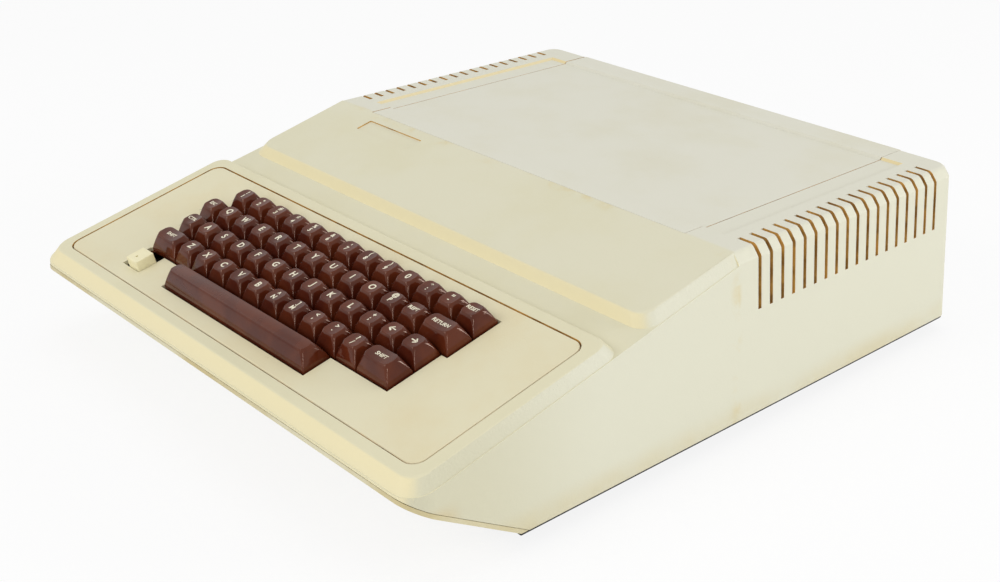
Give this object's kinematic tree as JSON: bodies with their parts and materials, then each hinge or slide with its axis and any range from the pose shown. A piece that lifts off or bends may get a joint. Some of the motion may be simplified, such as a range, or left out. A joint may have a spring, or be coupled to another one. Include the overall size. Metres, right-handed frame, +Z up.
{
  "type": "vintage home computer",
  "caption": "Wedge-shaped home computer in a cream moulded case with a sloping keyboard deck, brown keys, lift-off lid and side vent slots.",
  "frame": {"origin": "on the table under the middle of the machine", "axes": "+X to the right as the user sits, +Y to the rear, +Z up"},
  "size_m": [0.402, 0.457, 0.1143],
  "materials": {
    "cream_plastic": "satin, fine moulded grain",
    "panel_plastic": "matte, fine grain",
    "lamp_plastic": "satin, translucent",
    "key_plastic": "semi-gloss, double shot",
    "black_steel": "matte paint",
    "foot_rubber": "matte",
    "plate_steel": "zinc plated",
    "switch_plastic": "satin",
    "board_laminate": "solder mask",
    "ribbon_grey": "satin",
    "nylon_white": "satin",
    "socket_plastic": "satin",
    "chip_black": "matte",
    "supply_metal": "gold passivated",
    "wire_yellow": "satin",
    "jack_metal": "nickel plated",
    "speaker_grey": "satin"
  },
  "bodies": {
    "case": {"case_shell": "cream_plastic", "base_pan": "black_steel", "chin_panel": "cream_plastic", "rubber_feet": "foot_rubber", "keyboard_panel": "panel_plastic", "power_lamp": "lamp_plastic", "keyboard_plate": "plate_steel", "key_switches": "switch_plastic", "keyboard_board": "board_laminate", "keyboard_ribbon": "ribbon_grey", "main_board": "board_laminate", "board_standoffs": "nylon_white", "expansion_slots": "socket_plastic", "processor": "chip_black", "rom_chips": "chip_black", "memory_chips": "chip_black", "logic_chips": "chip_black", "game_socket": "socket_plastic", "power_supply": "supply_metal", "mains_inlet": "switch_plastic", "power_harness": "wire_yellow", "video_jack": "jack_metal", "cassette_jacks": "socket_plastic", "speaker": "speaker_grey", "case_screws": "plate_steel"},
    "lid": {"lid": "cream_plastic", "lid_fasteners": "socket_plastic"},
    "rocker": {"power_rocker": "switch_plastic"},
    "key_reset": {"key_reset": "key_plastic"},
    "key_escape": {"key_escape": "key_plastic"},
    "key_q": {"key_q": "key_plastic"},
    "key_w": {"key_w": "key_plastic"},
    "key_e": {"key_e": "key_plastic"},
    "key_r": {"key_r": "key_plastic"},
    "key_t": {"key_t": "key_plastic"},
    "key_y": {"key_y": "key_plastic"},
    "key_u": {"key_u": "key_plastic"},
    "key_i": {"key_i": "key_plastic"},
    "key_o": {"key_o": "key_plastic"},
    "key_p": {"key_p": "key_plastic"},
    "key_repeat": {"key_repeat": "key_plastic"},
    "key_return": {"key_return": "key_plastic"},
    "key_control": {"key_control": "key_plastic"},
    "key_a": {"key_a": "key_plastic"},
    "key_s": {"key_s": "key_plastic"},
    "key_d": {"key_d": "key_plastic"},
    "key_f": {"key_f": "key_plastic"},
    "key_g": {"key_g": "key_plastic"},
    "key_h": {"key_h": "key_plastic"},
    "key_j": {"key_j": "key_plastic"},
    "key_k": {"key_k": "key_plastic"},
    "key_l": {"key_l": "key_plastic"},
    "key_semicolon": {"key_semicolon": "key_plastic"},
    "key_arrow_left": {"key_arrow_left": "key_plastic"},
    "key_arrow_right": {"key_arrow_right": "key_plastic"},
    "key_shift_left": {"key_shift_left": "key_plastic"},
    "key_shift_right": {"key_shift_right": "key_plastic"},
    "number_keys": {"number_keys": "key_plastic"},
    "lower_keys": {"lower_keys": "key_plastic"},
    "space_bar": {"space_bar": "key_plastic"}
  },
  "joints": [
    {"name": "lid_lift", "type": "slide", "parent": "case", "child": "lid", "axis": [0, 0, 1], "range_m": [0, 0.08]},
    {"name": "rocker_turn", "type": "hinge", "parent": "case", "child": "rocker", "pos_m": [-0.127, 0.2202, 0.042], "axis": [1, 0, 0], "range_deg": [0, 20]},
    {"name": "key_reset_press", "type": "slide", "parent": "case", "child": "key_reset", "axis": [0, -0.225, 0.9744], "range_m": [-0.004, 0], "stiffness_N_per_m": 100, "springref_m": 0.003},
    {"name": "key_escape_press", "type": "slide", "parent": "case", "child": "key_escape", "axis": [0, -0.225, 0.9744], "range_m": [-0.004, 0], "stiffness_N_per_m": 100, "springref_m": 0.003},
    {"name": "key_q_press", "type": "slide", "parent": "case", "child": "key_q", "axis": [0, -0.225, 0.9744], "range_m": [-0.004, 0], "stiffness_N_per_m": 100, "springref_m": 0.003},
    {"name": "key_w_press", "type": "slide", "parent": "case", "child": "key_w", "axis": [0, -0.225, 0.9744], "range_m": [-0.004, 0], "stiffness_N_per_m": 100, "springref_m": 0.003},
    {"name": "key_e_press", "type": "slide", "parent": "case", "child": "key_e", "axis": [0, -0.225, 0.9744], "range_m": [-0.004, 0], "stiffness_N_per_m": 100, "springref_m": 0.003},
    {"name": "key_r_press", "type": "slide", "parent": "case", "child": "key_r", "axis": [0, -0.225, 0.9744], "range_m": [-0.004, 0], "stiffness_N_per_m": 100, "springref_m": 0.003},
    {"name": "key_t_press", "type": "slide", "parent": "case", "child": "key_t", "axis": [0, -0.225, 0.9744], "range_m": [-0.004, 0], "stiffness_N_per_m": 100, "springref_m": 0.003},
    {"name": "key_y_press", "type": "slide", "parent": "case", "child": "key_y", "axis": [0, -0.225, 0.9744], "range_m": [-0.004, 0], "stiffness_N_per_m": 100, "springref_m": 0.003},
    {"name": "key_u_press", "type": "slide", "parent": "case", "child": "key_u", "axis": [0, -0.225, 0.9744], "range_m": [-0.004, 0], "stiffness_N_per_m": 100, "springref_m": 0.003},
    {"name": "key_i_press", "type": "slide", "parent": "case", "child": "key_i", "axis": [0, -0.225, 0.9744], "range_m": [-0.004, 0], "stiffness_N_per_m": 100, "springref_m": 0.003},
    {"name": "key_o_press", "type": "slide", "parent": "case", "child": "key_o", "axis": [0, -0.225, 0.9744], "range_m": [-0.004, 0], "stiffness_N_per_m": 100, "springref_m": 0.003},
    {"name": "key_p_press", "type": "slide", "parent": "case", "child": "key_p", "axis": [0, -0.225, 0.9744], "range_m": [-0.004, 0], "stiffness_N_per_m": 100, "springref_m": 0.003},
    {"name": "key_repeat_press", "type": "slide", "parent": "case", "child": "key_repeat", "axis": [0, -0.225, 0.9744], "range_m": [-0.004, 0], "stiffness_N_per_m": 100, "springref_m": 0.003},
    {"name": "key_return_press", "type": "slide", "parent": "case", "child": "key_return", "axis": [0, -0.225, 0.9744], "range_m": [-0.004, 0], "stiffness_N_per_m": 100, "springref_m": 0.003},
    {"name": "key_control_press", "type": "slide", "parent": "case", "child": "key_control", "axis": [0, -0.225, 0.9744], "range_m": [-0.004, 0], "stiffness_N_per_m": 100, "springref_m": 0.003},
    {"name": "key_a_press", "type": "slide", "parent": "case", "child": "key_a", "axis": [0, -0.225, 0.9744], "range_m": [-0.004, 0], "stiffness_N_per_m": 100, "springref_m": 0.003},
    {"name": "key_s_press", "type": "slide", "parent": "case", "child": "key_s", "axis": [0, -0.225, 0.9744], "range_m": [-0.004, 0], "stiffness_N_per_m": 100, "springref_m": 0.003},
    {"name": "key_d_press", "type": "slide", "parent": "case", "child": "key_d", "axis": [0, -0.225, 0.9744], "range_m": [-0.004, 0], "stiffness_N_per_m": 100, "springref_m": 0.003},
    {"name": "key_f_press", "type": "slide", "parent": "case", "child": "key_f", "axis": [0, -0.225, 0.9744], "range_m": [-0.004, 0], "stiffness_N_per_m": 100, "springref_m": 0.003},
    {"name": "key_g_press", "type": "slide", "parent": "case", "child": "key_g", "axis": [0, -0.225, 0.9744], "range_m": [-0.004, 0], "stiffness_N_per_m": 100, "springref_m": 0.003},
    {"name": "key_h_press", "type": "slide", "parent": "case", "child": "key_h", "axis": [0, -0.225, 0.9744], "range_m": [-0.004, 0], "stiffness_N_per_m": 100, "springref_m": 0.003},
    {"name": "key_j_press", "type": "slide", "parent": "case", "child": "key_j", "axis": [0, -0.225, 0.9744], "range_m": [-0.004, 0], "stiffness_N_per_m": 100, "springref_m": 0.003},
    {"name": "key_k_press", "type": "slide", "parent": "case", "child": "key_k", "axis": [0, -0.225, 0.9744], "range_m": [-0.004, 0], "stiffness_N_per_m": 100, "springref_m": 0.003},
    {"name": "key_l_press", "type": "slide", "parent": "case", "child": "key_l", "axis": [0, -0.225, 0.9744], "range_m": [-0.004, 0], "stiffness_N_per_m": 100, "springref_m": 0.003},
    {"name": "key_semicolon_press", "type": "slide", "parent": "case", "child": "key_semicolon", "axis": [0, -0.225, 0.9744], "range_m": [-0.004, 0], "stiffness_N_per_m": 100, "springref_m": 0.003},
    {"name": "key_arrow_left_press", "type": "slide", "parent": "case", "child": "key_arrow_left", "axis": [0, -0.225, 0.9744], "range_m": [-0.004, 0], "stiffness_N_per_m": 100, "springref_m": 0.003},
    {"name": "key_arrow_right_press", "type": "slide", "parent": "case", "child": "key_arrow_right", "axis": [0, -0.225, 0.9744], "range_m": [-0.004, 0], "stiffness_N_per_m": 100, "springref_m": 0.003},
    {"name": "key_shift_left_press", "type": "slide", "parent": "case", "child": "key_shift_left", "axis": [0, -0.225, 0.9744], "range_m": [-0.004, 0], "stiffness_N_per_m": 100, "springref_m": 0.003},
    {"name": "key_shift_right_press", "type": "slide", "parent": "case", "child": "key_shift_right", "axis": [0, -0.225, 0.9744], "range_m": [-0.004, 0], "stiffness_N_per_m": 100, "springref_m": 0.003},
    {"name": "number_keys_press", "type": "slide", "parent": "case", "child": "number_keys", "axis": [0, -0.225, 0.9744], "range_m": [-0.004, 0], "stiffness_N_per_m": 1200, "springref_m": 0.003},
    {"name": "lower_keys_press", "type": "slide", "parent": "case", "child": "lower_keys", "axis": [0, -0.225, 0.9744], "range_m": [-0.004, 0], "stiffness_N_per_m": 1000, "springref_m": 0.003},
    {"name": "space_bar_press", "type": "slide", "parent": "case", "child": "space_bar", "axis": [0, -0.225, 0.9744], "range_m": [-0.004, 0], "stiffness_N_per_m": 200, "springref_m": 0.003}
  ]
}
